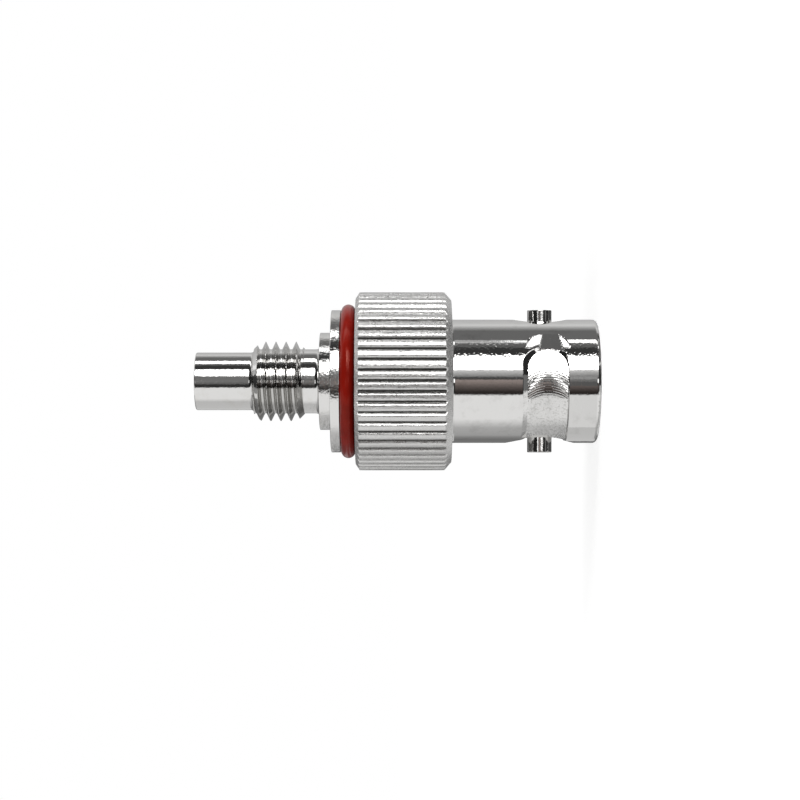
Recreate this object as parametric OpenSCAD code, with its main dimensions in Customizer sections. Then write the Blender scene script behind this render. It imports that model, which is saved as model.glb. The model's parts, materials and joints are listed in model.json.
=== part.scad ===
// Straight coax adapter: a bayonet jack at the bottom, a threaded plug with a centre pin at the top.
// It stands on the rim of the bayonet barrel, with its axis on Z and the two lugs along X.
// Sizes are in millimetres.

/* [Bayonet barrel] */
// Inside diameter of the bayonet socket
socket_bore_d = 8.13; // [7.2:0.01:9.2]
// Wall of the barrel round the socket
barrel_wall = 0.75; // [0.65:0.01:1.3]
// Length of the barrel, from its rim to the collar
barrel_l = 11.33; // [10:0.01:16]
// Depth of the socket, from the rim to its floor
socket_depth = 8.4; // [7:0.01:10]
// Thickness of the web that closes the socket
web_t = 1.2; // [0.6:0.05:2]
// Bevel on the outer edge of the rim
rim_bevel = 0.2; // [0.05:0.01:0.3]
// Bevel at the mouth of the socket
mouth_bevel = 0.2; // [0.05:0.01:0.3]
// Flare of the barrel where it meets the collar
barrel_flare = 0.2; // [0.05:0.01:0.5]

/* [Bayonet lugs] */
// Diameter of each lug
lug_d = 1.92; // [1.4:0.01:2.6]
// Height of each lug above the barrel
lug_h = 0.735; // [0.4:0.005:1.2]
// Distance from the rim to the centre line of the lugs
lug_z = 4.43; // [3.8:0.01:5.5]
// Width of the channel milled round the barrel between the lugs
channel_w = 3.5; // [2.4:0.01:4.2]
// Depth of that channel
channel_depth = 0.2; // [0.05:0.01:0.4]
// Offset of that channel from the lugs, towards the rim
channel_offset = 0.15; // [0:0.01:0.4]
// Width of the flat floor milled round each lug
pocket_land = 0.71; // [0.3:0.01:1.2]
// Rise of the milled walls of channel and pockets from their floors, in degrees
mill_slope = 26; // [15:1:60]
// Depth of the pocket round the lug on +X
pocket_depth_a = 0.22; // [0.05:0.01:0.5]
// Depth of the pocket round the lug on -X
pocket_depth_b = 0.48; // [0.05:0.01:0.55]

/* [Grip collar] */
// Height of the collar's ribs above the sealing ring
collar_lip = 0.95; // [0.6:0.01:3]
// Length of the collar
collar_l = 7.42; // [6:0.01:12]
// Number of straight ribs round the collar
rib_count = 52; // [36:1:64]
// Depth of the grooves between the ribs
rib_groove_depth = 0.2; // [0.1:0.01:0.3]
// Included angle of the grooves between the ribs, in degrees
rib_groove_angle = 90; // [60:1:100]
// Length of the bevel on the collar's plug side
front_bevel_l = 0.31; // [0.1:0.01:1]
// Height of the bevel on the collar's plug side
front_bevel_h = 0.47; // [0.1:0.01:0.6]
// Length of the bevel on the collar's barrel side
rear_bevel_l = 0.54; // [0.1:0.01:1]
// Height of the bevel on the collar's barrel side
rear_bevel_h = 0.62; // [0.1:0.01:0.8]
// Depth of solid collar in front of the barrel's spigot
collar_web_t = 2.92; // [1:0.01:4]
// Step from the barrel down to the spigot
spigot_step = 0.35; // [0.2:0.01:0.5]

/* [Sealing ring] */
// Outside diameter of the ring
ring_outer_d = 12; // [11.6:0.05:12.5]
// Thickness of the ring's round cord
ring_cord_d = 1.12; // [0.9:0.01:1.4]

/* [Flanges] */
// Height of the seat flange above the floor of the ring's groove
seat_lip = 0.7; // [0.3:0.01:1.1]
// Thickness of the seat flange
seat_flange_t = 0.75; // [0.4:0.01:2]
// Height of the pilot flange above the thread
pilot_lip = 0.68; // [0.2:0.01:1.4]
// Thickness of the pilot flange
pilot_flange_t = 0.89; // [0.4:0.01:2]
// Bevel on the edges of both flanges
flange_bevel = 0.07; // [0.02:0.01:0.15]

/* [Threaded plug] */
// Height of the thread above the neck
thread_h = 0.61; // [0.5:0.01:1]
// Length of the threaded stretch
thread_l = 3.92; // [2.5:0.01:8]
// Bevel at both ends of the thread
thread_bevel = 0.45; // [0.2:0.01:0.6]
// Wall of the neck behind the thread, round the sleeve
neck_wall = 0.48; // [0.3:0.01:0.8]
// Length of the neck
neck_l = 1.21; // [0.8:0.01:3]
// Inside diameter of the plug tube
tube_bore_d = 3.72; // [3.2:0.01:4.4]
// Wall of the plug tube
tube_wall = 0.385; // [0.3:0.005:0.6]
// Length of the plug tube in front of the thread
tube_l = 4.53; // [3:0.01:8]
// Bevel on the outer edge of the plug tube
tube_bevel = 0.18; // [0.02:0.01:0.2]
// Bevel at the mouth of the plug tube
tube_mouth_bevel = 0.08; // [0.02:0.01:0.12]
// Fillet at the foot of the tube and of the neck
foot_fillet = 0.25; // [0.05:0.01:0.35]

/* [Insulators] */
// Diameter of the insulating post in the socket
post_d = 4.8; // [3.6:0.01:5.6]
// Distance from the rim to the face of the post
post_recess = 3.2; // [2.5:0.01:4.5]
// Step to the post's wide end behind the web
post_step = 0.85; // [0.4:0.01:1.2]
// Room round the contact's springy fingers
finger_room = 0.15; // [0.05:0.01:0.3]
// Step by which the insulating sleeve in the plug is wider than the tube's bore
sleeve_step = 0.14; // [0.06:0.01:0.2]
// Length of the sleeve's nose in the plug tube's bore
sleeve_nose_l = 1.05; // [0.4:0.01:2]
// Distance from the end of the plug tube to the sleeve's face
sleeve_recess = 3.75; // [2:0.01:4.5]

/* [Centre contact] */
// Bore of the slotted contact
contact_bore_d = 1.38; // [1:0.01:1.8]
// Wall of the slotted contact
contact_wall = 0.21; // [0.15:0.01:0.35]
// Flare at the mouth of that bore
contact_flare = 0.07; // [0.02:0.01:0.12]
// Width of the four slots
slot_w = 0.18; // [0.1:0.01:0.25]
// Length of the four slots
slot_l = 3.8; // [2:0.05:4.5]
// Depth of the contact's bore past the slots
bore_past_slots = 1; // [0.3:0.05:3]
// Distance from the face of the post to the end of the contact
contact_recess = 0.05; // [0:0.01:0.5]
// Step to the stop ring between the two insulators
stop_step = 0.4; // [0.2:0.01:0.8]
// Thickness of the stop ring
stop_t = 0.8; // [0.4:0.05:2]
// Diameter of the centre pin
pin_d = 0.65; // [0.5:0.01:0.9]
// Step from the pin to the contact's shank in the sleeve
shank_step = 0.275; // [0.2:0.005:0.4]
// Distance from the end of the plug tube to the tip of the pin
pin_recess = 0.15; // [0:0.01:1]
// Length of the pin's pointed tip
pin_tip_l = 0.3; // [0.1:0.01:0.6]
// Diameter of the pin's blunt end
pin_end_d = 0.24; // [0.05:0.01:0.4]

/* [Fits] */
// Radial clearance of a piece pushed into its hole
push_fit = 0.02; // [0.005:0.005:0.05]
// Play of the sealing ring in its groove
ring_play = 0.03; // [0.01:0.01:0.2]
// Gap left in front of an end that doesn't seat
end_gap = 0.05; // [0.02:0.01:0.2]

/* [Hidden] */
$fn = 96;

// Depth by which a cutter passes the face that it opens
past = 0.5;

nickel = [0.77, 0.77, 0.76];
silicone_red = [0.62, 0.11, 0.08];
ptfe_white = [0.93, 0.93, 0.91];
gold = [0.85, 0.64, 0.27];

// Radii
socket_bore_r = socket_bore_d / 2;
barrel_r = socket_bore_r + barrel_wall;
spigot_r = barrel_r - spigot_step;
pocket_floor_r = lug_d / 2 + pocket_land;
ring_outer_r = ring_outer_d / 2;
ring_centre_r = ring_outer_r - ring_cord_d / 2;
ring_groove_r = ring_outer_r - ring_cord_d - ring_play;
collar_r = ring_outer_r + collar_lip;
seat_flange_r = ring_groove_r + seat_lip;
tube_bore_r = tube_bore_d / 2;
tube_r = tube_bore_r + tube_wall;
sleeve_r = tube_bore_r + sleeve_step;
sleeve_hole_r = sleeve_r + push_fit;
neck_r = sleeve_hole_r + neck_wall;
thread_r = neck_r + thread_h;
pilot_flange_r = thread_r + pilot_lip;
post_r = post_d / 2;
post_base_r = post_r + post_step;
contact_bore_r = contact_bore_d / 2;
contact_r = contact_bore_r + contact_wall;
finger_hole_r = contact_r + finger_room;
stop_r = contact_r + stop_step;
pin_r = pin_d / 2;
shank_r = pin_r + shank_step;

// Heights on the outside, from the rim up
collar_z = barrel_l;
ring_groove_z = collar_z + collar_l;
seat_flange_z = ring_groove_z + ring_cord_d + ring_play;
pilot_flange_z = seat_flange_z + seat_flange_t;
neck_z = pilot_flange_z + pilot_flange_t;
thread_z = neck_z + neck_l;
tube_z = thread_z + thread_l;
top_z = tube_z + tube_l;

// Heights inside
web_back_z = socket_depth + web_t;
clamp_z = ring_groove_z - collar_web_t;
spigot_z = clamp_z - end_gap;
stop_z = clamp_z - stop_t;
contact_z = post_recess + contact_recess;
finger_hole_z = contact_z + slot_l + end_gap;
sleeve_face_z = top_z - sleeve_recess;
sleeve_step_z = sleeve_face_z - sleeve_nose_l;
pin_tip_z = top_z - pin_recess;

// Round hole from height z0 to z1
module hole(r, z0, z1) {
    translate([0, 0, z0]) cylinder(r = r, h = z1 - z0);
}

// Cone-shaped bevel at the mouth of a hole of radius r, opening upwards to height z
module mouth_up(r, z, size) {
    translate([0, 0, z - size]) cylinder(r1 = r, r2 = r + size + past, h = size + past);
}

// Cone-shaped bevel at the mouth of a hole of radius r, opening downwards to height z
module mouth_down(r, z, size) {
    translate([0, 0, z - past]) cylinder(r1 = r + size + past, r2 = r, h = size + past);
}

// Concave fillet in the corner between a shaft of radius r and the shoulder below it at height z
module foot(r, z, size) {
    rotate_extrude()
        translate([r, z])
            difference() {
                translate([-size, -size]) square(2 * size);
                translate([size, size]) circle(size);
            }
}

// Concave flare of a shaft of radius r, widest at its upper end at height z
module flare(r, z, size) {
    rotate_extrude()
        translate([r, z])
            difference() {
                translate([-size, -size]) square([2 * size, size]);
                translate([size, -size]) circle(size);
            }
}

// V-shaped groove along the collar, with its floor line at radius r
module rib_groove(r, z0, z1) {
    reach = rib_groove_depth + past;
    spread = reach * tan(rib_groove_angle / 2);
    translate([0, 0, z0 - past])
        linear_extrude(z1 - z0 + 2 * past)
            polygon([[r, 0], [r + reach, -spread], [r + reach, spread]]);
}

// Bevelled drum of the collar with straight ribs all round
module grip_collar() {
    difference() {
        rotate_extrude()
            polygon([
                [0, collar_z],
                [collar_r - rear_bevel_h, collar_z],
                [collar_r, collar_z + rear_bevel_l],
                [collar_r, ring_groove_z - front_bevel_l],
                [collar_r - front_bevel_h, ring_groove_z],
                [0, ring_groove_z]
            ]);
        for (i = [0 : rib_count - 1])
            rotate(i * 360 / rib_count)
                rib_groove(collar_r - rib_groove_depth, collar_z, ring_groove_z);
    }
}

// Ring groove, flanges, neck, threaded stretch and tube, turned on one axis
module turned_plug() {
    rotate_extrude()
        polygon([
            [0, ring_groove_z - collar_l / 2],
            [ring_groove_r, ring_groove_z - collar_l / 2],
            [ring_groove_r, seat_flange_z],
            [seat_flange_r - flange_bevel, seat_flange_z],
            [seat_flange_r, seat_flange_z + flange_bevel],
            [seat_flange_r, pilot_flange_z - flange_bevel],
            [seat_flange_r - flange_bevel, pilot_flange_z],
            [pilot_flange_r, pilot_flange_z],
            [pilot_flange_r, neck_z - flange_bevel],
            [pilot_flange_r - flange_bevel, neck_z],
            [neck_r, neck_z],
            [neck_r, thread_z],
            [thread_r - thread_bevel, thread_z],
            [thread_r, thread_z + thread_bevel],
            [thread_r, tube_z - thread_bevel],
            [thread_r - thread_bevel, tube_z],
            [tube_r, tube_z],
            [tube_r, top_z - tube_bevel],
            [tube_r - tube_bevel, top_z],
            [0, top_z]
        ]);
    foot(tube_r, tube_z, foot_fillet);
    foot(neck_r, neck_z, foot_fillet);
}

module plug_body() {
    color(nickel)
        difference() {
            union() {
                grip_collar();
                turned_plug();
            }
            hole(spigot_r + push_fit, collar_z - past, clamp_z);
            hole(sleeve_hole_r, clamp_z - past, sleeve_step_z);
            hole(tube_bore_r, sleeve_step_z - past, top_z + past);
            mouth_up(tube_bore_r, top_z, tube_mouth_bevel);
        }
}

// Pocket milled round the lug on +X: a flat floor across the lug, with a wall that slopes outwards
module lug_pocket(depth) {
    rise = depth + past;
    translate([barrel_r - depth, 0, lug_z])
        rotate([0, 90, 0])
            cylinder(r1 = pocket_floor_r, r2 = pocket_floor_r + rise / tan(mill_slope), h = rise);
}

// Channel milled round the barrel on both sides of the lugs, with walls that slope outwards
module lug_channel() {
    floor_r = barrel_r - channel_depth;
    floor_half = channel_w / 2 - channel_depth / tan(mill_slope);
    outer_half = channel_w / 2 + past / tan(mill_slope);
    translate([0, 0, lug_z - channel_offset])
        rotate_extrude()
            polygon([
                [floor_r, -floor_half],
                [barrel_r + past, -outer_half],
                [barrel_r + past, outer_half],
                [floor_r, floor_half]
            ]);
}

// Both lugs as one round bar across the barrel; the socket's bore parts it
module lug_bar() {
    tip_x = barrel_r + lug_h;
    translate([-tip_x, 0, lug_z])
        rotate([0, 90, 0])
            cylinder(d = lug_d, h = 2 * tip_x);
}

// Outside of the barrel with its spigot, before the socket is bored
module barrel_blank() {
    rotate_extrude()
        polygon([
            [0, 0],
            [barrel_r - rim_bevel, 0],
            [barrel_r, rim_bevel],
            [barrel_r, collar_z],
            [spigot_r, collar_z],
            [spigot_r, spigot_z],
            [0, spigot_z]
        ]);
    flare(barrel_r, collar_z, barrel_flare);
}

module bayonet_shell() {
    color(nickel)
        difference() {
            union() {
                difference() {
                    barrel_blank();
                    lug_channel();
                    lug_pocket(pocket_depth_a);
                    rotate(180) lug_pocket(pocket_depth_b);
                }
                lug_bar();
            }
            hole(socket_bore_r, -past, socket_depth);
            mouth_down(socket_bore_r, 0, mouth_bevel);
            hole(post_r + push_fit, socket_depth - past, web_back_z + past);
            hole(post_base_r + push_fit, web_back_z, clamp_z + past);
        }
}

module o_ring() {
    color(silicone_red)
        translate([0, 0, (ring_groove_z + seat_flange_z) / 2])
            rotate_extrude()
                translate([ring_centre_r, 0])
                    circle(d = ring_cord_d);
}

module socket_insulator() {
    color(ptfe_white)
        rotate_extrude()
            polygon([
                [finger_hole_r, post_recess],
                [post_r, post_recess],
                [post_r, web_back_z],
                [post_base_r, web_back_z],
                [post_base_r, clamp_z],
                [stop_r + push_fit, clamp_z],
                [stop_r + push_fit, stop_z],
                [contact_r + push_fit, stop_z],
                [contact_r + push_fit, finger_hole_z],
                [finger_hole_r, finger_hole_z]
            ]);
}

module plug_insulator() {
    color(ptfe_white)
        rotate_extrude()
            polygon([
                [shank_r + push_fit, clamp_z],
                [sleeve_r, clamp_z],
                [sleeve_r, sleeve_step_z],
                [tube_bore_r - push_fit, sleeve_step_z],
                [tube_bore_r - push_fit, sleeve_face_z],
                [shank_r + push_fit, sleeve_face_z]
            ]);
}

// Contact before its slots are cut: socket, stop ring, shank and pin
module contact_blank() {
    bore_end_z = contact_z + slot_l + bore_past_slots;
    rotate_extrude()
        polygon([
            [contact_bore_r + contact_flare, contact_z],
            [contact_r, contact_z],
            [contact_r, stop_z],
            [stop_r, stop_z],
            [stop_r, clamp_z],
            [shank_r, clamp_z],
            [shank_r, sleeve_face_z],
            [pin_r, sleeve_face_z],
            [pin_r, pin_tip_z - pin_tip_l],
            [pin_end_d / 2, pin_tip_z],
            [0, pin_tip_z],
            [0, bore_end_z],
            [contact_bore_r, bore_end_z],
            [contact_bore_r, contact_z + contact_flare]
        ]);
}

module centre_contact() {
    color(gold)
        difference() {
            contact_blank();
            for (turn = [45, 135])
                rotate(turn)
                    translate([-stop_r, -slot_w / 2, contact_z - past])
                        cube([2 * stop_r, slot_w, slot_l + past]);
        }
}

plug_body();
bayonet_shell();
o_ring();
socket_insulator();
plug_insulator();
centre_contact();
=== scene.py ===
"""Dressed model of a straight coax adapter: bayonet barrel, knurled collar, sealing ring and threaded plug.

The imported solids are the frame. The two nickel-plated bodies and the ring are rebuilt as fine surfaces
with their thread, knurl, tool marks and softened edges; the insulators and the contact keep their solids
and get a finish. Shapes are worked out in millimetres and stored in metres.
"""
import json
import math

import bpy
import numpy as np
from mathutils import Matrix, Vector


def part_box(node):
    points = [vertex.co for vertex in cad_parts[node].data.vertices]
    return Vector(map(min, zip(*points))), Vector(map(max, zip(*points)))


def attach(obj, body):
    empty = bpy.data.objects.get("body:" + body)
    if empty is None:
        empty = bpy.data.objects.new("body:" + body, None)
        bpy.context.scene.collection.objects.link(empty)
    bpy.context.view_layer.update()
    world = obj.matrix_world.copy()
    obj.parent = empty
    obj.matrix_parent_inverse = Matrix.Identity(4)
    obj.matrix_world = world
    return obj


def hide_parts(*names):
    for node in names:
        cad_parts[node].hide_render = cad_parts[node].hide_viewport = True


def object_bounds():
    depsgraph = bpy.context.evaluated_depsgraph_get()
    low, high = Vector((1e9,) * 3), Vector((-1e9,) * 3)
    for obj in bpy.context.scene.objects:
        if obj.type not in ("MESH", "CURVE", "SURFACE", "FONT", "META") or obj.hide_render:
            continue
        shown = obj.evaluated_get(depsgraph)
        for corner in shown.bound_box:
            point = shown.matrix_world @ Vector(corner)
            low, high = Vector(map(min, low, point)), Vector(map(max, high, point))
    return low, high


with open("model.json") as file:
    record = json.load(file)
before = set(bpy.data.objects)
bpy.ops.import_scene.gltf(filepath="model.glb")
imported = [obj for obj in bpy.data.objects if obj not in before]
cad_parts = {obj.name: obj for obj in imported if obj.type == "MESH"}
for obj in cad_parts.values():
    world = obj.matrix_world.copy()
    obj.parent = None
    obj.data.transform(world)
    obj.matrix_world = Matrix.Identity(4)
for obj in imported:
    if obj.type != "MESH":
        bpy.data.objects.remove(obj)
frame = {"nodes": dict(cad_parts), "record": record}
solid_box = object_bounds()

MM = 0.001
TAU = 2 * math.pi
MOUNTS = {mount["name"]: mount for mount in frame["record"]["mounts"]}


def mount_r(name):
    """Radius of a round mount in millimetres."""
    return MOUNTS[name]["dims"]["r_mm"]


def mount_z(name):
    """Height of a mount's place in millimetres."""
    return MOUNTS[name]["pos_m"][2] / MM


def corners_mm(node):
    """Lowest and highest corner of a solid in millimetres."""
    low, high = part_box(node)
    return low / MM, high / MM


shell_high = corners_mm("bayonet_shell")[1]
plug_low, plug_high = corners_mm("plug_body")
ring_low, ring_high = corners_mm("o_ring")

# Bayonet barrel
barrel_r = mount_r("barrel")
socket_bore_r = barrel_r - 0.75
spigot_r = barrel_r - 0.35
spigot_z = shell_high.z
socket_floor_z = 8.4
web_back_z = socket_floor_z + 1.2
post_hole_r = 2.42
post_base_hole_r = 3.27
rim_bevel = 0.2
rim_round = 0.14
rim_end_z = rim_bevel + 0.2
wall_z = rim_bevel + 0.24
mouth_bevel = 0.2
flare = 0.2

# Lugs
lug_r = 0.96
lug_z = mount_z("bayonet_lugs")
lug_tip_x = shell_high.x
lug_root = 0.35

# Milled channel; an angle called lift goes round the axis towards the upper lug, alike on both sides
channel_r = barrel_r - 0.2
mill_r = 1.52
mill_z = lug_z - 0.38
mill_arc_r = 2.4
mill_chord_least = 0.5
mill_step = 0.09
mill_step_limit = 99
mill_fade = 9
mill_lag = math.radians(1)
mill_lean = math.radians(7.5)
mill_dip = math.radians(-5)
mill_rise = math.tan(math.radians(26))
top_rise = 0.55
rim_rise = 4
rim_wall_power = 12
end_lift = math.radians(11.5)

# Graze and notch above the channel's end
graze_lift = math.radians(39.1)
graze_depth = 0.05
graze_centre = math.radians(29)
graze_r = 1.7
graze_inner_r = 2.05
notch_lift = math.radians(35.5)
notch_depth = 0.12
notch_z = mill_z - 0.26
notch_half = 0.78
notch_spread = 0.8

# Pockets round the lugs, with the depths on the +X side and the -X side
pocket_floor_r = lug_r + 0.71
pocket_depths = {1: 0.22, -1: 0.48}
pocket_reach_cos = 0.5

# Grip collar
collar_z = plug_low.z
collar_r = ring_high.x + 0.95
rib_count = 52
rib_groove = 0.2
rib_groove_floor = 0.015
rib_groove_round = 0.025
rib_crown = 0.018
rib_uneven = 0.006
land_wobble = 0.008
bevel_round = 0.02
front_bevel_l, front_bevel_h, front_foot = 0.31, 0.47, 0.05
rear_bevel_l, rear_bevel_h, rear_foot = 0.54, 0.62, 0.06
push_fit = 0.02

# Sealing ring in its groove
cord_r = (ring_high.z - ring_low.z) / 2
cord_press = 0.985
ring_centre_r = ring_high.x - cord_r
ring_centre_z = (ring_high.z + ring_low.z) / 2
ring_play = 0.03
ring_groove_r = ring_high.x - 2 * cord_r - ring_play
groove_z = ring_low.z - ring_play / 2
clamp_z = groove_z - 2.92

# Flanges, neck, thread and tube
seat_flange_r = ring_groove_r + 0.7
seat_flange_z = ring_high.z + ring_play / 2
pilot_flange_z = mount_z("seat_flange")
thread_r = mount_r("thread")
pilot_flange_r = thread_r + 0.68
neck_z = pilot_flange_z + 0.89
neck_r = thread_r - 0.61
thread_z = neck_z + 1.21
tube_z = thread_z + 3.92
thread_bevel = 0.55
thread_flank = math.tan(math.radians(25))
thread_tip, thread_tip_round = 0.015, 0.02
thread_root_round = 0.04
thread_pitch = 0.79
thread_crest_z = 25.78
tube_r = mount_r("plug_tube")
tube_bore_r = tube_r - 0.385
tube_bevel = 0.05
tube_mouth_bevel = 0.08
foot_fillet = 0.34
top_z = plug_high.z
sleeve_hole_r = tube_bore_r + 0.16
sleeve_step_z = top_z - 4.8


def profile(corners, points=7):
    """Polyline of (radius, height) corners whose corners are rounded off.

    Each corner is (r, z, size). It becomes the quadratic curve that leaves the incoming side `size` before
    the corner and joins the outgoing side `size` after it, with one more point on each side that keeps the
    flats flat. Two corners share a short side in proportion to their sizes. The two ends stay where they are.
    """
    side_used, hold_l, tiny = 0.94, 0.02, 1e-9
    data = np.array(corners, float)
    at, size = data[:, :2], data[:, 2:]
    back = np.roll(at, 1, 0) - at
    ahead = np.roll(at, -1, 0) - at
    back_l = np.linalg.norm(back, axis=1, keepdims=True)
    ahead_l = np.linalg.norm(ahead, axis=1, keepdims=True)
    back_share = back_l * size / (size + np.roll(size, 1, 0) + tiny)
    ahead_share = ahead_l * size / (size + np.roll(size, -1, 0) + tiny)
    reach = np.minimum(size, side_used * np.minimum(back_share, ahead_share))
    back, ahead = back / back_l, ahead / ahead_l
    done = np.linspace(0, 1, points)[None, :, None]
    left = 1 - done
    start, end = at + reach * back, at + reach * ahead
    curve = left**2 * start[:, None] + 2 * done * left * at[:, None] + done**2 * end[:, None]
    hold = hold_l * np.minimum(1, np.minimum(back_l, ahead_l))
    before, after = (start + hold * back)[:, None], (end + hold * ahead)[:, None]
    rows = np.concatenate([before, curve, after], 1)[1:-1]
    return np.concatenate([at[:1], rows.reshape(-1, 2), at[-1:]])


def turn(columns):
    """Angles round the axis, one for each column of a turned grid."""
    return np.linspace(0, TAU, columns, endpoint=False)


def graded(ends, counts):
    """Rising values that split each stretch between two ends into its own count of even steps."""
    spans = zip(ends, ends[1:], counts)
    return np.concatenate([np.linspace(*span, endpoint=False) for span in spans])


def revolve(r, z, angle):
    """Points of a turned surface: x = r cos(angle), y = r sin(angle), with r and z given on the grid."""
    r, z, angle = np.broadcast_arrays(r, z, angle)
    return np.stack([r * np.cos(angle), r * np.sin(angle), z], -1)


def smoothstep(share):
    """Weight from 0 to 1 with level ends: 3 share squared - 2 share cubed."""
    return share * share * (3 - 2 * share)


def value_noise(shape, cells, seed):
    """Smooth noise from -1 to 1 on a grid that closes in its columns: random values on a coarse lattice,
    joined by smoothstep weights in both directions."""
    lattice = np.random.default_rng(seed).uniform(-1, 1, cells)
    row_at = np.linspace(0, cells[0] - 1.001, shape[0])[:, None]
    column_at = np.linspace(0, cells[1], shape[1], endpoint=False)[None, :]
    row, column = row_at.astype(int), column_at.astype(int)
    down, along = smoothstep(row_at - row), smoothstep(column_at - column)
    beside = (column + 1) % cells[1]
    near = lattice[row, column] * (1 - along) + lattice[row, beside] * along
    far = lattice[row + 1, column] * (1 - along) + lattice[row + 1, beside] * along
    return near * (1 - down) + far * down


def soft_min(a, b, blend):
    """The smaller of two values, with the corner between them rounded over `blend`."""
    return 0.5 * (a + b - np.sqrt((a - b) ** 2 + blend**2))


def soft_max(a, b, blend):
    """The larger of two values, with the corner between them rounded over `blend`."""
    return 0.5 * (a + b + np.sqrt((a - b) ** 2 + blend**2))


def collar_surface():
    """Knurled drum: the radius is the lower of the rib profile, a function of the angle, and the bevelled
    outline, a function of the height. The grooves are V-shaped, so the radius falls by the distance inside
    the groove's edge, and between them each rib is crowned by the square of the distance from its middle."""
    pitch = TAU * collar_r / rib_count
    land = np.linspace(0.32, 0.5, 5)
    step = np.concatenate([-land[::-1], np.linspace(-0.27, 0.27, 13), land[:-1]])
    across = np.tile(step, rib_count) * pitch
    angle = np.repeat(np.arange(rib_count), len(step)) * TAU / rib_count + across / collar_r
    rear_z, front_z = collar_z + rear_bevel_l, groove_z - front_bevel_l
    z = np.concatenate([graded((collar_z, rear_z, front_z), (12, 22)), np.linspace(front_z, groove_z, 10)])
    wobble = value_noise((len(z), len(angle)), cells=(14, rib_count * 3), seed=11)
    rib_lift = np.repeat(np.random.default_rng(5).uniform(-1, 1, rib_count), len(step))
    from_centre = np.sqrt(across**2 + rib_groove_floor**2)
    cut = soft_max(rib_groove - from_centre, 0, rib_groove_round)
    off_middle = (pitch / 2 - np.abs(across)) / (pitch / 2 - rib_groove)
    rib = collar_r - cut - rib_crown * np.minimum(off_middle, 1) ** 2 + rib_uneven * rib_lift
    rear = collar_r - rear_bevel_h * (1 - (z - collar_z) / rear_bevel_l)
    front = collar_r - front_bevel_h * (1 - (groove_z - z) / front_bevel_l)
    outline = np.minimum(np.minimum(rear, front), collar_r + 1)
    r = soft_min(rib[None, :], outline[:, None], bevel_round) + land_wobble * wobble
    r = np.minimum(r, collar_r)
    inside = profile([
        (collar_r - front_bevel_h - front_foot, groove_z, 0),
        (ring_groove_r, groove_z, 0.02),
        (ring_groove_r, clamp_z, 0.02),
        (spigot_r + push_fit, clamp_z, 0.02),
        (spigot_r + push_fit, collar_z, 0.02),
        (collar_r - rear_bevel_h - rear_foot, collar_z, 0),
    ])
    r = np.concatenate([r, np.broadcast_to(inside[:, :1], (len(inside), len(angle)))])
    return revolve(r, np.concatenate([z, inside[:, 1]])[:, None], angle[None, :])


def plug_surface():
    """Turned plug: a rounded profile carried round the axis. On the threaded stretch the radius is a V that
    follows the helix, height = pitch x angle / turn, cut off by the bevels at both ends."""
    below = profile([
        (neck_r, thread_z, 0),
        (neck_r, neck_z, foot_fillet),
        (pilot_flange_r, neck_z, 0.07),
        (pilot_flange_r, pilot_flange_z, 0.04),
        (seat_flange_r, pilot_flange_z, 0.08),
        (seat_flange_r, seat_flange_z, 0.08),
        (ring_groove_r, seat_flange_z, 0.06),
        (ring_groove_r, clamp_z, 0.02),
        (sleeve_hole_r, clamp_z, 0.02),
        (sleeve_hole_r, sleeve_step_z, 0.02),
        (tube_bore_r, sleeve_step_z, 0.02),
        (tube_bore_r, top_z - tube_mouth_bevel, 0.03),
        (tube_bore_r + tube_mouth_bevel, top_z, 0.03),
        (tube_r - tube_bevel, top_z, 0.03),
        (tube_r, top_z - tube_bevel, 0.03),
        (tube_r, tube_z, foot_fillet),
        (thread_r - thread_bevel, tube_z, 0),
    ])
    angle = turn(256)[None, :]
    z = np.linspace(tube_z, thread_z, 196)[:, None]
    turns = (z - thread_crest_z) / thread_pitch - angle / TAU
    from_crest = np.abs((turns + 0.5) % 1 - 0.5) * thread_pitch
    fall = soft_max((from_crest - thread_tip) / thread_flank, 0, thread_tip_round)
    helix = soft_max(thread_r - fall, neck_r, thread_root_round)
    bevel = thread_r - thread_bevel + np.minimum(z - thread_z, tube_z - z)
    thread = np.maximum(np.minimum(np.minimum(helix, bevel), thread_r), neck_r)
    r = np.concatenate([np.broadcast_to(below[:, :1], (len(below), angle.size)), thread])
    z = np.concatenate([below[:, 1:], z])
    return revolve(r, z, angle)


def flat(distance, off):
    """Radius of a flat that lies `distance` from the axis, at an angle off the direction it faces: the
    distance / cos(angle)."""
    return distance / np.cos(np.clip(off, -1, 1))


def from_channel_end(lift, across):
    """Distance from the middle of the channel's round end, or below it from the channel's middle line."""
    return np.hypot(np.maximum(lift - end_lift, 0) * channel_r, across)


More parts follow.
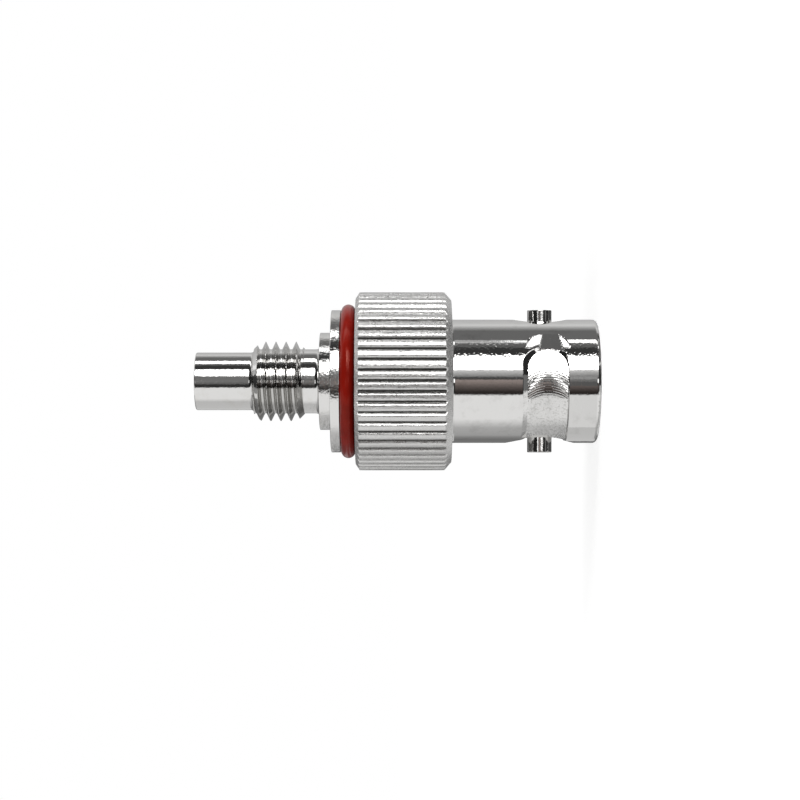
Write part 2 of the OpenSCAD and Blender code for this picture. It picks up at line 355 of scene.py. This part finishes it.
def slot_radius(lift, across):
    """Milled channel: a bed of flats, and walls that rise with the distance outside the mill's path.

    A wide flat ends the channel on the upper lug's side, and fine steps go on from it down to the lower
    lug, leaning up and down by turns and less and less. A step ends on an arc of radius mill_arc_r, so the
    number of steps at a place is the whole part of (arc length below the end flat - arc radius + half chord)
    / step. The walls rise slowly towards the collar and steeply towards the rim.
    """
    half_chord = np.sqrt(np.maximum(mill_arc_r**2 - across**2, mill_chord_least**2))
    below_end = (end_lift - mill_lag - lift) * channel_r - (mill_arc_r - half_chord)
    step = np.clip(np.floor(below_end / mill_step) + 1, 0, mill_step_limit).astype(int)
    chance = np.random.default_rng(3).uniform(0.6, 1.2, mill_step_limit + 1)
    chance[0] = 1
    lean = np.where(step % 2, mill_dip, mill_lean) * np.exp(-step / mill_fade) * chance[step]
    square = end_lift - step * mill_step / channel_r + lean
    bed = flat(channel_r * np.cos(lean), lift - square)
    end_flat = flat(channel_r * math.cos(mill_lean), lift - end_lift - mill_lean)
    foot = np.where(lift > end_lift, end_flat, channel_r)
    from_end = from_channel_end(lift, across)
    sideways = across / np.maximum(from_end, 0.1)
    collar_wall = mill_rise + (top_rise - mill_rise) * (1 - sideways) ** 2
    rim_wall = top_rise + (rim_rise - top_rise) * sideways**rim_wall_power
    wall_rise = np.where(across > 0, collar_wall, rim_wall)
    return np.where(from_end < mill_r, bed, foot + (from_end - mill_r) * wall_rise)


def graze_radius(lift, across):
    """Flat where the mill grazed the barrel: in a circle above the channel's end, and clear of that end."""
    from_centre = np.hypot((lift - graze_centre) * barrel_r, across)
    past_circle = np.maximum(from_centre - graze_r, 0)
    near_end = np.maximum(graze_inner_r - from_channel_end(lift, across), 0)
    return flat(barrel_r - graze_depth, lift - graze_lift) + past_circle + near_end


def notch_radius(lift, z):
    """Small flat notch in the graze, which widens towards the channel."""
    half_width = notch_half + notch_spread * (notch_lift - lift)
    past_side = np.maximum(np.abs(z - notch_z) - half_width, 0)
    return flat(barrel_r - notch_depth, lift - notch_lift) + past_side


def cut_pockets(r, angle, z):
    """Radius with the two pockets cut: a pocket is the plane of its floor, rising with the distance from the
    lug's axis outside the floor's circle. That distance hangs on the radius, so it is worked out three times
    over."""
    for side, depth in pocket_depths.items():
        facing = side * np.cos(angle)
        for _ in range(3):
            spread = np.hypot(r * np.sin(angle), z - lug_z)
            floor_x = barrel_r - depth + np.maximum(spread - pocket_floor_r, 0) * mill_rise
            lowered = np.minimum(r, floor_x / np.maximum(facing, pocket_reach_cos))
            r = np.where(facing > pocket_reach_cos, lowered, r)
    return r


def barrel_surface():
    """Barrel with the marks of the mill: the radius is the lowest of the turned wall, the channel, the graze
    and the notch, and then the pockets are cut. The columns stand closer at the channel's end, the mill steps
    and the pockets, and the rows at the channel."""
    half_ends = (0, 25, 40, 52, 63, 79, 107, 150, 180)
    half_counts = (30, 8, 19, 36, 25, 86, 28, 30)
    ends = half_ends + tuple(360 - end for end in half_ends[-2::-1])
    angle = np.radians(graded(ends, half_counts + half_counts[::-1]))[None, :]
    z = graded((wall_z, 1.7, 2.4, 6.1, 7.2, collar_z - flare), (8, 8, 76, 8, 6))[:, None]
    rest = profile([
        (barrel_r, collar_z - flare, 0),
        (barrel_r, collar_z, flare),
        (barrel_r + flare, collar_z, 0.005),
        (spigot_r, collar_z, 0.01),
        (spigot_r, spigot_z, 0.05),
        (post_base_hole_r, spigot_z, 0.02),
        (post_base_hole_r, web_back_z, 0.02),
        (post_hole_r, web_back_z, 0.02),
        (post_hole_r, socket_floor_z, 0.02),
        (socket_bore_r, socket_floor_z, 0.08),
        (socket_bore_r, mouth_bevel, 0.04),
        (socket_bore_r + mouth_bevel, 0, 0.03),
        (barrel_r - rim_bevel, 0, rim_round),
        (barrel_r, rim_bevel, rim_round),
        (barrel_r, rim_end_z, 0),
    ], points=4)
    lift = np.arctan2(np.cos(angle), np.abs(np.sin(angle)))
    across = z - mill_z
    slotted = np.minimum(slot_radius(lift, across), barrel_r)
    grazed = np.minimum(graze_radius(lift, across), notch_radius(lift, z))
    r = cut_pockets(np.minimum(slotted, grazed), angle, z)
    r = np.concatenate([r, np.broadcast_to(rest[:, :1], (len(rest), angle.size))])
    return revolve(r, np.concatenate([z, rest[:, 1:]]), angle)


def lug_foot_x(side):
    """Distance from the axis to the end of a lug's root, inside the barrel's wall."""
    return barrel_r - pocket_depths[side] - lug_root


def lug_surface(side):
    """Round lug on one side of the barrel: a rounded profile carried round an axis along X, closed at both
    ends."""
    foot_x = lug_foot_x(side)
    line = profile([(0, foot_x, 0), (lug_r, foot_x, 0.02), (lug_r, lug_tip_x, 0.07), (0, lug_tip_x, 0)])
    angle = turn(96)[None, :]
    r, along = line[1:-1, :1], line[1:-1, 1:]
    y, z = r * np.sin(angle) * side, lug_z + r * np.cos(angle)
    return np.stack(np.broadcast_arrays(side * along, y, z), -1)


def ring_surface():
    """Sealing ring: a circle carried round the axis, pressed a little flat where it meets the flange and
    collar."""
    round_cord = turn(56)[:, None]
    angle = turn(288)[None, :]
    r = ring_centre_r + cord_r * np.cos(round_cord)
    z = ring_centre_z + cord_r * np.clip(np.sin(round_cord), -cord_press, cord_press)
    return revolve(r, z, angle)


def add_object(name, points, faces, material):
    """Object in the scene with a mesh of points in metres and one material."""
    mesh = bpy.data.meshes.new(name)
    mesh.from_pydata(points, [], faces)
    mesh.materials.append(material)
    item = bpy.data.objects.new(name, mesh)
    bpy.context.scene.collection.objects.link(item)
    return item


def make_piece(name, points, node, material, crease=30, poles=None):
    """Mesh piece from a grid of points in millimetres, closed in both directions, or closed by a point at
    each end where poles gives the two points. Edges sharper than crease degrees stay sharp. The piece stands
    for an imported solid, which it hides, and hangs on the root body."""
    rows, columns = points.shape[:2]
    index = np.arange(rows * columns).reshape(rows, columns)
    beside = np.roll(index, -1, 1)
    quads = np.stack([index, beside, np.roll(beside, -1, 0), np.roll(index, -1, 0)], -1)
    verts = points.reshape(-1, 3)
    caps = np.empty((0, 3), int)
    if poles is not None:
        first = rows * columns
        verts = np.concatenate([verts, poles])
        start = np.stack([beside[0], index[0], np.full(columns, first)], -1)
        end = np.stack([index[-1], beside[-1], np.full(columns, first + 1)], -1)
        quads, caps = quads[:-1], np.concatenate([start, end])
    quads = quads.reshape(-1, 4)
    a, b, c, d = np.moveaxis(verts[quads], 1, 0)
    signed_volume = np.einsum("ij,ij->", a, np.cross(b, c) + np.cross(c, d))
    if signed_volume < 0:
        quads, caps = quads[:, ::-1], caps[:, ::-1]
    piece = add_object(name, (verts * MM).tolist(), quads.tolist() + caps.tolist(), material)
    piece.data.shade_smooth()
    piece.data.set_sharp_from_angle(angle=math.radians(crease))
    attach(piece, "root")
    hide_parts(node)


class Signal:
    """A socket in a material. Arithmetic on it adds Math nodes to the material."""

    def __init__(self, tree, socket):
        self.tree, self.socket = tree, socket

    def math(self, operation, *others):
        """Math node with this signal as its first value."""
        return add(self.tree, "ShaderNodeMath", {"operation": operation}, dict(enumerate((self, *others))))

    def __add__(self, other):
        return self.math("ADD", other)

    def __sub__(self, other):
        return self.math("SUBTRACT", other)

    def __rsub__(self, other):
        return add(self.tree, "ShaderNodeMath", {"operation": "SUBTRACT"}, {0: other, 1: self})

    def __mul__(self, other):
        return self.math("MULTIPLY", other)

    def __truediv__(self, other):
        return self.math("DIVIDE", other)

    def __pow__(self, other):
        return self.math("POWER", other)

    __radd__ = __add__
    __rmul__ = __mul__

    def ramp(self, low, high):
        """0 below low, 1 above high, smooth between; falls instead where low is above high."""
        settings = {"interpolation_type": "SMOOTHSTEP"}
        return add(self.tree, "ShaderNodeMapRange", settings, {0: self, 1: low, 2: high, 3: 0.0, 4: 1.0})


def add(tree, kind, settings, inputs, output=0):
    """Adds a node: its settings first, then the values or links of its sockets. Returns one output as a
    signal. The setting called stops is a list of (place, colour) for a colour ramp."""
    node = tree.nodes.new(kind)
    for key, value in settings.items():
        if key == "stops":
            ramp = node.color_ramp
            for place, _ in value[1:-1]:
                ramp.elements.new(place)
            for element, (place, colour) in zip(ramp.elements, value):
                element.position, element.color = place, (*colour, 1)
        else:
            setattr(node, key, value)
    for key, value in inputs.items():
        if isinstance(value, Signal):
            tree.links.new(value.socket, node.inputs[key])
        else:
            node.inputs[key].default_value = value
    return Signal(tree, node.outputs[output]) if len(node.outputs) else None


def mix(tree, share, first, second):
    """Colour that goes from first to second as share goes from 0 to 1."""
    settings = {"data_type": "RGBA", "clamp_factor": True}
    return add(tree, "ShaderNodeMix", settings, {0: share, 6: first, 7: second}, 2)


def noise(tree, place, scale, detail=3.0, roughness=0.55, kind="3D"):
    """Noise from 0 to 1 at a place in millimetres, with scale in waves to the millimetre."""
    socket = "W" if kind == "1D" else "Vector"
    inputs = {socket: place, "Scale": scale, "Detail": detail, "Roughness": roughness}
    return add(tree, "ShaderNodeTexNoise", {"noise_dimensions": kind}, inputs)


def stretch(tree, place, factors):
    """A place scaled by three factors."""
    return add(tree, "ShaderNodeVectorMath", {"operation": "MULTIPLY"}, {0: place, 1: factors})


def empty_material(name):
    """New material and its empty node tree."""
    material = bpy.data.materials.new(name)
    material.use_nodes = True
    material.node_tree.nodes.clear()
    return material, material.node_tree


def place_mm(tree):
    """Place on the piece in millimetres."""
    here = add(tree, "ShaderNodeTexCoord", {}, {}, "Object")
    return stretch(tree, here, (1 / MM, 1 / MM, 1 / MM))


def coordinates(place):
    """The x, y and z of a place."""
    return [add(place.tree, "ShaderNodeSeparateXYZ", {}, {0: place}, axis) for axis in "XYZ"]


def bump(tree, height, depth_mm, under=None):
    """Normal of a relief whose height from 0 to 1 stands for depth_mm."""
    inputs = {"Height": height, "Distance": depth_mm * MM, "Strength": 1.0}
    if under is not None:
        inputs["Normal"] = under
    return add(tree, "ShaderNodeBump", {}, inputs)


def surface(tree, inputs):
    """Principled shader as the material's surface."""
    shader = add(tree, "ShaderNodeBsdfPrincipled", {}, inputs)
    add(tree, "ShaderNodeOutputMaterial", {}, {"Surface": shader})


nickel_bright = (0.65, 0.645, 0.635, 1)
nickel_warm = (0.59, 0.575, 0.55, 1)
# duller nickel for worn patches and scratches, also painted as shade down the thread's lower side
nickel_worn_and_shaded = (0.44, 0.435, 0.42, 1)
nickel_land = (0.66, 0.655, 0.645, 1)
# near-black colour painted into the knurl's grooves as shade
painted_groove_shade = (0.05, 0.048, 0.045, 1)
red_deep, red_bright, red_speck = (0.3, 0.01, 0.005, 1), (0.38, 0.014, 0.007, 1), (0.55, 0.12, 0.09, 1)
ptfe_clean, ptfe_cloud = (0.83, 0.83, 0.81, 1), (0.75, 0.75, 0.72, 1)
gold_full, gold_pale = (0.86, 0.56, 0.17, 1), (0.9, 0.68, 0.33, 1)


def turned_nickel(name, ripple_mm, ring_mm):
    """Polished nickel plate: a fine ripple that frays reflections, faint turning rings, patches of duller
    plate, and painted shade down in the thread's roots on its lower (-X) side."""
    material, tree = empty_material(name)
    place = place_mm(tree)
    x, y, z = coordinates(place)
    radius = (x * x + y * y) ** 0.5
    patches = noise(tree, place, 0.9, 4.0)
    ripple = noise(tree, place, 5.5, 2.0)
    grain = noise(tree, place, 34.0, 2.0)
    rings = noise(tree, z + radius * 0.73, 13.0, 3.0, 0.6, "1D")
    dull = patches.ramp(0.5, 0.72)
    flanges = z.ramp(seat_flange_z - 0.1, seat_flange_z) * z.ramp(neck_z + 0.02, neck_z - 0.02)
    # painted shade: the thread's roots on the lower (-X) side take the duller nickel colour
    cut = z.ramp(thread_z, thread_z + 0.05) * z.ramp(tube_z, tube_z - 0.05) * x.ramp(0.4, -0.6)
    shaded_flanks = cut * radius.ramp(thread_r - 0.03, thread_r - 0.1)
    plate = mix(tree, dull * 0.5, nickel_bright, nickel_warm)
    relief = bump(tree, rings, ring_mm, bump(tree, ripple * (1 + 2.5 * flanges), ripple_mm))
    surface(tree, {
        "Base Color": mix(tree, shaded_flanks * 0.75, plate, nickel_worn_and_shaded),
        "Metallic": 1.0,
        "Roughness": 0.055 + 0.03 * dull + 0.04 * grain.ramp(0.5, 0.8),
        "Normal": relief,
    })
    return material


def milled_nickel(name):
    """Nickel on the barrel: polished where it is turned, frayed along one band, and satin with fine
    scratches on the lower milled floors."""
    material, tree = empty_material(name)
    place = place_mm(tree)
    x, y, z = coordinates(place)
    radius = (x * x + y * y) ** 0.5
    outside = radius.ramp(socket_bore_r + 0.1, socket_bore_r + 0.3)
    milled = radius.ramp(barrel_r - 0.004, barrel_r - 0.02) * outside
    patches = noise(tree, place, 0.8, 4.0)
    ripple = noise(tree, place, 5.0, 1.0)
    scratches = noise(tree, stretch(tree, place, (1.3, 1.3, 1.0)), 4.6, 2.0)
    rings = noise(tree, z, 9.0, 3.0, 0.6, "1D")
    dull = patches.ramp(0.52, 0.75)
    frayed = x.ramp(0.6, 2.2) * x.ramp(2.9, 2.5) * (0.5 + patches) * (1 - 0.9 * milled)
    satin = milled * x.ramp(-0.3, -1.2)
    marked = satin * scratches.ramp(0.5, 0.66)
    relief = bump(tree, rings, 0.001, bump(tree, ripple * (0.15 + frayed), 0.014))
    surface(tree, {
        "Base Color": mix(tree, dull * 0.35 + marked * 0.6, nickel_bright, nickel_worn_and_shaded),
        "Metallic": 1.0,
        "Roughness": 0.05 + 0.02 * dull + 0.1 * satin,
        "Normal": bump(tree, scratches * satin, 0.006, relief),
    })
    return material


def knurled_nickel(name):
    """Rough nickel on the knurl: pitted lands, patchy gloss, and painted shade down in the grooves, a
    near-black colour that is strongest on the sides that face away from the lugs."""
    material, tree = empty_material(name)
    place = place_mm(tree)
    x, y, z = coordinates(place)
    radius = (x * x + y * y) ** 0.5
    patches = noise(tree, stretch(tree, place, (1.0, 1.0, 0.45)), 2.4, 4.0, 0.6)
    pits = noise(tree, place, 6.0, 2.0)
    streaks = noise(tree, stretch(tree, place, (9.0, 9.0, 0.7)), 1.6, 3.0)
    rear = (z - collar_z) * (rear_bevel_h / rear_bevel_l) + (collar_r - rear_bevel_h)
    front = (groove_z - z) * (front_bevel_h / front_bevel_l) + (collar_r - front_bevel_h)
    outline = rear.math("MINIMUM", front).math("MINIMUM", collar_r)
    # painted shade: groove depth darkens the colour towards near black, less so towards +X and -X
    outer = x.math("ABSOLUTE").ramp(3.0, 6.0)
    deep = (outline - radius).ramp(0.06, 0.16) * (0.95 - 0.45 * outer)
    surface(tree, {
        "Base Color": mix(tree, deep, nickel_land, painted_groove_shade),
        "Metallic": 0.75,
        "Roughness": 0.22 + 0.14 * patches.ramp(0.35, 0.7),
        "Normal": bump(tree, pits, 0.018, bump(tree, streaks, 0.01)),
    })
    return material


def red_silicone(name):
    """Moulded silicone: deep red with faint clouding, a soft sheen, fine grain and a few lint specks."""
    material, tree = empty_material(name)
    place = place_mm(tree)
    clouds = noise(tree, place, 0.9, 3.0)
    grain = noise(tree, place, 16.0, 3.0)
    specks = noise(tree, place, 5.0, 1.0).ramp(0.72, 0.78)
    body = mix(tree, clouds.ramp(0.3, 0.7), red_deep, red_bright)
    surface(tree, {
        "Base Color": mix(tree, specks * 0.25, body, red_speck),
        "Roughness": 0.12 + 0.06 * clouds,
        "Specular IOR Level": 0.25,
        "Specular Tint": (1, 0.5, 0.4, 1),
        "Normal": bump(tree, grain, 0.003),
    })
    return material


def white_ptfe(name):
    """Turned white plastic: waxy, with faint turning rings and slight clouding."""
    material, tree = empty_material(name)
    place = place_mm(tree)
    x, y, z = coordinates(place)
    radius = (x * x + y * y) ** 0.5
    clouds = noise(tree, place, 0.7, 3.0)
    rings = noise(tree, radius + z * 0.8, 11.0, 3.0, 0.6, "1D")
    surface(tree, {
        "Base Color": mix(tree, clouds.ramp(0.3, 0.75), ptfe_clean, ptfe_cloud),
        "Roughness": 0.34 + 0.14 * rings,
        "Subsurface Weight": 0.15,
        "Subsurface Radius": (0.0006, 0.0005, 0.0004),
        "Subsurface Scale": 1.0,
        "Normal": bump(tree, rings, 0.004),
    })
    return material


def gold_plate(name):
    """Gold plate on the contact: warm, lightly brushed round the axis, with paler worn patches."""
    material, tree = empty_material(name)
    place = place_mm(tree)
    height = coordinates(place)[2]
    wear = noise(tree, place, 1.8, 4.0)
    rings = noise(tree, height, 15.0, 3.0, 0.6, "1D")
    surface(tree, {
        "Base Color": mix(tree, wear.ramp(0.45, 0.8), gold_full, gold_pale),
        "Metallic": 1.0,
        "Roughness": 0.14 + 0.12 * wear,
        "Normal": bump(tree, rings, 0.003),
    })
    return material


plug_finish = turned_nickel("nickel_turned", 0.005, 0.001)
make_piece("plug_turned", plug_surface(), "plug_body", plug_finish)
collar_finish = knurled_nickel("nickel_knurled")
make_piece("grip_collar", collar_surface(), "plug_body", collar_finish, crease=25)
make_piece("sealing_ring", ring_surface(), "o_ring", red_silicone("silicone_red"))
barrel_finish = milled_nickel("nickel_milled")
make_piece("barrel", barrel_surface(), "bayonet_shell", barrel_finish, crease=4)
lug_finish = turned_nickel("nickel_lug", 0.005, 0.001)
for side, word in ((1, "upper"), (-1, "lower")):
    ends = [(side * lug_foot_x(side), 0, lug_z), (side * lug_tip_x, 0, lug_z)]
    make_piece("lug_" + word, lug_surface(side), "bayonet_shell", lug_finish, 40, ends)

ptfe = white_ptfe("ptfe_white")
gold = gold_plate("gold_plated")
for node, finish in (("socket_insulator", ptfe), ("plug_insulator", ptfe), ("centre_contact", gold)):
    materials = frame["nodes"][node].data.materials
    materials.clear()
    materials.append(finish)

# Studio: a pale floor, a dome of soft boxes and flags for reflections alone, two soft lamps, a white world
dome_r = 0.3
dome_z = 0.0153
dome_top = 4.5
warm_band, warm_tint = (-25.5, 2), (1.16, 0.97, 0.91)

# Dome: bearing in degrees from the camera's side towards +X, and the level there
dome_levels = [
    (-180, 0.22), (-138, 0.22), (-127, 0.33), (-120, 0.47), (-96, 0.58), (-82, 0.9), (-74, 1.07),
    (-28, 1.07), (-26.1, 1.0), (-24.4, 0.03), (-20, 0.03), (-13, 0.1), (-9, 0.15), (1.5, 0.35),
    (3.5, 0.07), (6.5, 0.07), (8.5, 0.3), (20, 0.85), (22, 4.5), (45.8, 4.5), (47.8, 0.05),
    (63.5, 0.05), (66, 0.14), (75.5, 0.17), (76.5, 2.2), (80, 2.2), (81, 0.19), (107, 0.19),
    (113.5, 0.37), (127, 0.88), (135, 0.74), (180, 0.4),
]

# Cards inside the dome, each nearer than the one before: name, bearings, heights in degrees, level
cards = [
    ("box_strip", (74, 88), (1.5, 45), 3.0),
    ("flag_over", (-24, 50), (10, 80), 0.02),
    ("box_over", (-8, 4), (10, 20), 1.6),
    ("box_under", (-3, 4), (-32, -10), 1.8),
    ("flag_under", (-24, 72), (-85, -33), 0.03),
    ("wall_grey", (-24, 16), (-64, -53), 0.2),
    ("flag_wall", (-24, -3.5), (-42, -22), 0.03),
    ("box_core", (27, 42), (-10, 10), 10.0),
    ("flag_far", (125, 235), (-85, -40), 0.08),
    ("box_far", (95, 265), (63, 71), 1.2),
    ("back_low", (-165, -125), (-70, -30), 0.85),
    ("box_foot", (-180, 180), (-90, -85), 0.12),
    ("flag_head", (-180, 180), (80, 90), 0.05),
    ("tube_light", (-5, 20.5), (3.2, 12), 0.23),
    ("tube_grey", (-12.5, -5), (3.2, 12), 0.17),
    ("tube_dark", (-25, -12.5), (3.2, 12), 0.04),
    ("tube_low", (-160, -93), (3.2, 14), 0.72),
    ("strip_low", (76, 81), (-5.1, 0), 0.55),
    ("strip_rim", (76, 82), (-13, -6.9), 3.5),
    ("rim_light", (3.2, 8.4), (-13, -6.9), 0.4),
    ("rim_grey", (-1, 3.2), (-13, -6.9), 0.22),
    ("rim_dark", (-9, -1), (-13, -6.9), 0.13),
    ("rim_band", (-95, -26.5), (-13, -6.9), 0.94),
    ("rim_low", (-150, -95), (-14, -6.9), 0.72),
]
card_start, card_gap = 0.98, 0.01


def dome_patch(name, bearings, heights, radius, material):
    """Part of a sphere round the object that only glossy rays see: a grid over a bearing, from the camera's
    side towards +X, and a height above the horizon, both in degrees."""
    bearing = np.radians(np.linspace(*bearings, 73))[None, :]
    height = np.radians(np.linspace(*heights, 37))[:, None]
    x, y = np.cos(height) * np.sin(bearing), -np.cos(height) * np.cos(bearing)
    points = np.stack(np.broadcast_arrays(x, y, np.sin(height)), -1) * radius + (0, 0, dome_z)
    rows, columns = points.shape[:2]
    index = np.arange(rows * columns).reshape(rows, columns)
    quads = np.stack([index[:-1, :-1], index[1:, :-1], index[1:, 1:], index[:-1, 1:]], -1).reshape(-1, 4)
    patch = add_object(name, points.reshape(-1, 3).tolist(), quads.tolist(), material)
    patch.data.shade_smooth()
    patch.visible_camera = patch.visible_diffuse = patch.visible_shadow = patch.visible_transmission = False


def shine(tree, colour, strength):
    """Emission as the material's surface."""
    light = add(tree, "ShaderNodeEmission", {}, {"Color": colour, "Strength": strength})
    add(tree, "ShaderNodeOutputMaterial", {}, {"Surface": light})


def card_glow(name, level):
    """Plain emission of one level."""
    material, tree = empty_material(name)
    shine(tree, (1, 1, 1, 1), level)
    return material


def dome_glow():
    """Emission that changes with the bearing round the object, as the soft boxes and flags stand."""
    material, tree = empty_material("dome_bands")
    x, y, _ = coordinates(place_mm(tree))
    bearing = x.math("ARCTAN2", y * -1.0) / TAU + 0.5
    stops = []
    for at, level in dome_levels:
        tint = warm_tint if warm_band[0] <= at <= warm_band[1] else (1, 1, 1)
        stops.append(((at + 180) / 360, [level / dome_top * share for share in tint]))
    shine(tree, add(tree, "ShaderNodeValToRGB", {"stops": stops}, {"Fac": bearing}), dome_top)
    return material


dome_patch("dome", (-180, 180), (-90, 90), dome_r, dome_glow())
for order, (name, bearings, heights, level) in enumerate(cards):
    card_r = dome_r * (card_start - card_gap * order)
    dome_patch(name, bearings, heights, card_r, card_glow(name, level))


def make_floor():
    """Pale floor under the rim. A glow that the camera sees makes it white, and it takes a soft shadow. From
    below it is clear, and it lets light up into the mouth, so that this end can be seen too."""
    half_side = 60.0
    matt_white, near_glow, far_glow = (0.9, 0.9, 0.9, 1), (0.62, 0.62, 0.62, 1), (0.7, 0.7, 0.7, 1)
    near_mm, far_mm = 6.0, 35.0
    material, tree = empty_material("floor_white")
    camera_ray = add(tree, "ShaderNodeLightPath", {}, {}, "Is Camera Ray")
    matt = add(tree, "ShaderNodeBsdfDiffuse", {}, {"Color": matt_white})
    away = add(tree, "ShaderNodeVectorMath", {"operation": "LENGTH"}, {0: place_mm(tree)}, "Value")
    glow = mix(tree, away.ramp(near_mm, far_mm), near_glow, far_glow)
    light = add(tree, "ShaderNodeEmission", {}, {"Color": glow, "Strength": 1.0})
    white = add(tree, "ShaderNodeAddShader", {}, {0: matt, 1: light})
    blend = add(tree, "ShaderNodeMixShader", {}, {0: camera_ray, 1: matt, 2: white})
    from_below = add(tree, "ShaderNodeNewGeometry", {}, {}, "Backfacing")
    clear = add(tree, "ShaderNodeBsdfTransparent", {}, {})
    sheet = add(tree, "ShaderNodeMixShader", {}, {0: from_below, 1: blend, 2: clear})
    add(tree, "ShaderNodeOutputMaterial", {}, {"Surface": sheet})
    corners = [(x * half_side, y * half_side, 0) for x, y in ((-1, -1), (1, -1), (1, 1), (-1, 1))]
    floor = add_object("floor", corners, [(0, 1, 2, 3)], material)
    floor.visible_glossy = floor.visible_diffuse = False


make_floor()

sky_level = 0.35
world = bpy.data.worlds.new("studio")
world.use_nodes = True
sky_tree = world.node_tree
sky_tree.nodes.clear()
ray_kinds = ("Is Camera Ray", "Is Glossy Ray", "Is Transmission Ray")
rays = [add(sky_tree, "ShaderNodeLightPath", {}, {}, kind) for kind in ray_kinds]
seen = (rays[0] + rays[1] + rays[2]).math("MINIMUM", 1.0)
strength = seen * (1 - sky_level) + sky_level
sky = add(sky_tree, "ShaderNodeBackground", {}, {"Color": (1, 1, 1, 1), "Strength": strength})
add(sky_tree, "ShaderNodeOutputWorld", {}, {"Surface": sky})
bpy.context.scene.world = world


def soft_lamp(name, place, size, watts):
    """Square area lamp aimed at the middle of the adapter. Reflections show the dome in its stead."""
    light = bpy.data.lights.new(name, "AREA")
    light.size, light.energy = size, watts
    lamp = bpy.data.objects.new(name, light)
    middle = (solid_box[0] + solid_box[1]) / 2
    lamp.location = place
    lamp.rotation_mode = "QUATERNION"
    lamp.rotation_quaternion = (middle - lamp.location).to_track_quat("-Z", "Y")
    lamp.visible_glossy = False
    bpy.context.scene.collection.objects.link(lamp)


soft_lamp("key", (0.27, -0.14, 0.04), size=0.14, watts=0.5)
soft_lamp("fill", (-0.2, -0.15, 0.1), size=0.2, watts=0.05)

# Camera on the -Y side, lying on its side so that +X is up and the plug points left
camera_x, camera_y, camera_z = -0.00146, -0.158, 0.01531
lens = bpy.data.cameras.new("camera")
lens.lens, lens.sensor_width = 91.0, 36.0
lens.clip_start, lens.clip_end = 0.005, 200
camera = bpy.data.objects.new("camera", lens)
camera.matrix_world = Matrix((
    (0, 1, 0, camera_x),
    (0, 0, -1, camera_y),
    (-1, 0, 0, camera_z),
    (0, 0, 0, 1),
))
bpy.context.scene.collection.objects.link(camera)
bpy.context.scene.camera = camera
bpy.context.scene.view_settings.view_transform = "Standard"
